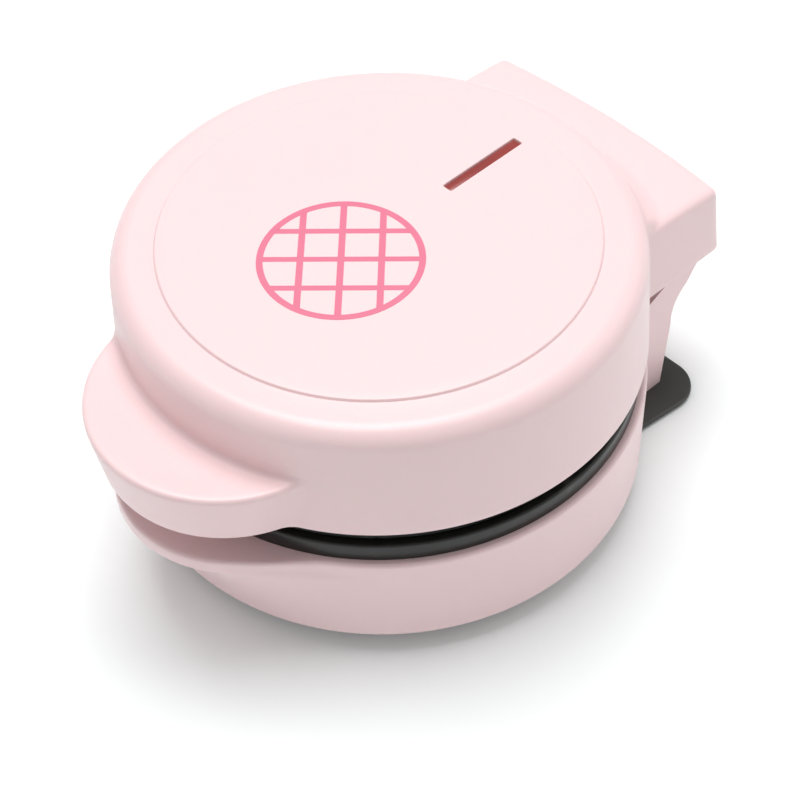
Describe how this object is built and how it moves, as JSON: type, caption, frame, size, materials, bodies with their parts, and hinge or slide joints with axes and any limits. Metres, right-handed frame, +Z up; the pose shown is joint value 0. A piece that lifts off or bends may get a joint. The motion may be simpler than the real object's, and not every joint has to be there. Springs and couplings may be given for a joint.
{
  "type": "waffle maker",
  "caption": "Round countertop waffle maker: shallow base with two non-stick stud plates, a hinged pink lid with a tab handle and lamp window, and a square rear hinge block.",
  "frame": {"origin": "on the table, under the centre of the round body", "axes": "+Z up; the handle points along -Y and the rear block along +Y; the hinge lies along X"},
  "size_m": [0.1306, 0.1663, 0.0767],
  "materials": {
    "pink_shell": "satin moulded pale pink plastic",
    "black_plastic": "fine textured black plastic",
    "black_ring": "satin black heat-resistant plastic",
    "nonstick_coating": "non-stick coating on cast aluminium",
    "red_lens": "clear dark red plastic",
    "screw_steel": "zinc-plated",
    "black_screws": "black oxide",
    "pin_steel": "turned and polished",
    "sheet_metal": "mill-finish sheet",
    "element_sheath": "heat-darkened sheath",
    "rubber_feet": "matt black rubber",
    "ceramic_parts": "unglazed white ceramic",
    "wire_sleeve": "braided glass-fibre sleeve",
    "neon_lamps": "small neon lamps"
  },
  "bodies": {
    "base": {"base_shell": "pink_shell", "bottom_cover": "black_plastic", "bottom_cover_screws": "screw_steel", "rear_foot": "black_plastic", "rear_foot_screws": "screw_steel", "rear_foot_pads": "rubber_feet", "front_feet": "rubber_feet", "cord_bushing": "rubber_feet", "hinge_pins": "pin_steel", "lower_ring": "black_ring", "lower_waffle_plate": "nonstick_coating", "lower_plate_rim": "nonstick_coating", "lower_heating_element": "element_sheath", "lower_element_clips": "sheet_metal", "lower_heat_shield": "sheet_metal", "lower_shield_screws": "screw_steel", "thermostat": "ceramic_parts", "thermostat_bracket": "sheet_metal", "thermal_fuse": "ceramic_parts", "terminal_block": "ceramic_parts", "base_leads": "wire_sleeve"},
    "lid": {"lid_shell": "pink_shell", "hinge_yoke": "pink_shell", "hinge_yoke_screws": "screw_steel", "handle_cover": "pink_shell", "handle_cover_screws": "screw_steel", "upper_ring": "black_ring", "lid_screws": "black_screws", "upper_waffle_plate": "nonstick_coating", "upper_plate_rim": "nonstick_coating", "upper_heating_element": "element_sheath", "upper_element_clips": "sheet_metal", "upper_heat_shield": "sheet_metal", "upper_shield_screws": "screw_steel", "indicator_lens": "red_lens", "indicator_lamps": "neon_lamps", "lamp_holder": "black_plastic", "lamp_holder_screws": "screw_steel", "lid_leads": "wire_sleeve"}
  },
  "joints": [
    {"name": "lid_hinge", "type": "hinge", "parent": "base", "child": "lid", "pos_m": [0, 0.0725, 0.04], "axis": [-1, 0, 0], "range_deg": [0, 95]}
  ]
}
